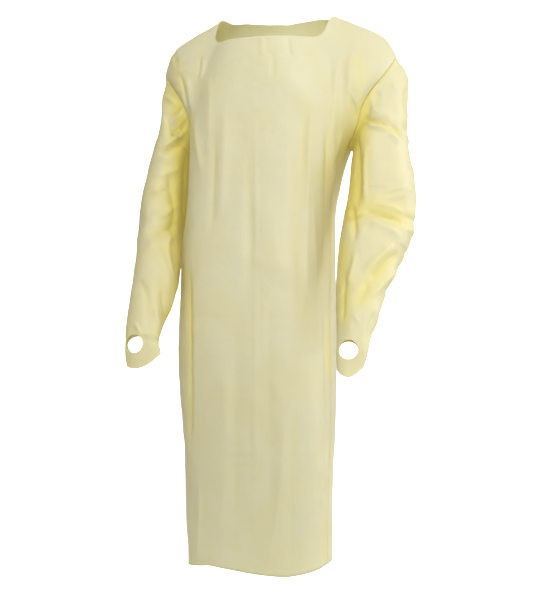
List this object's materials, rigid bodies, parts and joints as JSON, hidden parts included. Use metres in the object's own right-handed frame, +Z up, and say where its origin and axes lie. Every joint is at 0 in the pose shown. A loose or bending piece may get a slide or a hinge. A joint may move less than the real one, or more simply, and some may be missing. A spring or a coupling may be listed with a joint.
{
  "type": "isolation gown",
  "caption": "Over-the-head isolation gown with a straight-cut neck, a closed back, long set-on sleeves and thumb holes, filled out as worn.",
  "frame": {"origin": "on the wearer's shoulders, midway between the two points where the neckline meets the shoulder seams", "axes": "+Z up, the front faces -Y, +X is the wearer's left"},
  "size_m": [0.581, 0.3446, 1.1344],
  "materials": {
    "cloth": "plastic-coated nonwoven, pale yellow, soft sheen"
  },
  "bodies": {
    "root": {"front": "cloth", "back": "cloth", "sleeve_left_upper": "cloth", "sleeve_left_forearm": "cloth", "sleeve_left_end": "cloth", "sleeve_right_upper": "cloth", "sleeve_right_forearm": "cloth", "sleeve_right_end": "cloth"}
  },
  "joints": []
}
